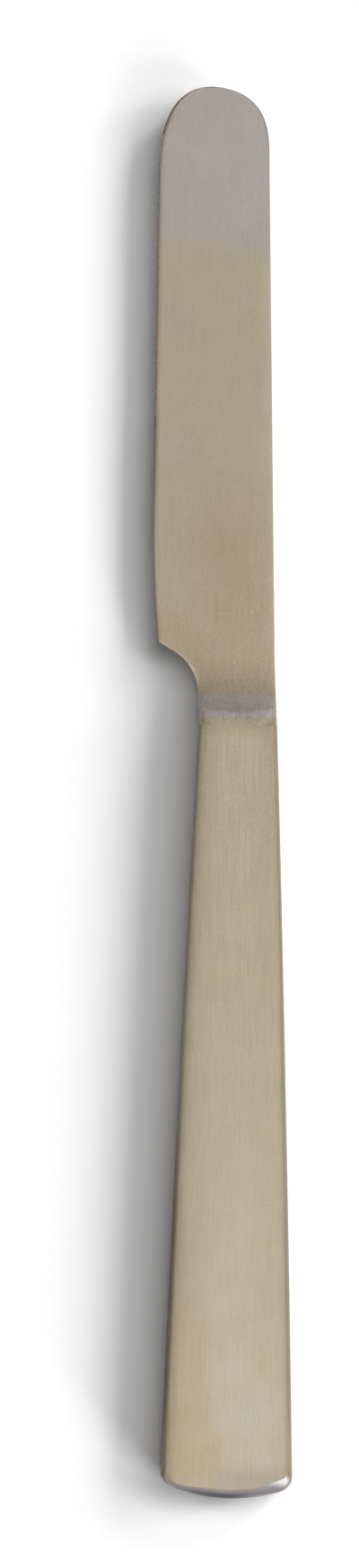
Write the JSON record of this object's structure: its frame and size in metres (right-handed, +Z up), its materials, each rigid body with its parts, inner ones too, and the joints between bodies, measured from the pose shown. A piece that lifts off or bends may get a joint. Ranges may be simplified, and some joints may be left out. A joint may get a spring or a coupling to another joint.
{
  "type": "table knife",
  "caption": "Table knife with a rounded, finely serrated blade, a coved bolster and a flaring hollow handle with a round butt; it lies flat on its handle.",
  "frame": {"origin": "middle of the flat back of the handle, halfway between the mouth and the crown of the butt, on the surface that the knife lies on", "axes": "+Y along the handle towards the tip of the blade, +Z up out of the surface, cutting edge towards -X"},
  "size_m": [0.0262, 0.24, 0.0062],
  "materials": {
    "blade_steel": "satin",
    "handle_steel": "satin",
    "braze": "satin",
    "cement": "matte"
  },
  "bodies": {
    "root": {"blade": "blade_steel", "front_shell": "handle_steel", "back_shell": "handle_steel", "seam_braze": "braze", "handle_cement": "cement"}
  },
  "joints": []
}
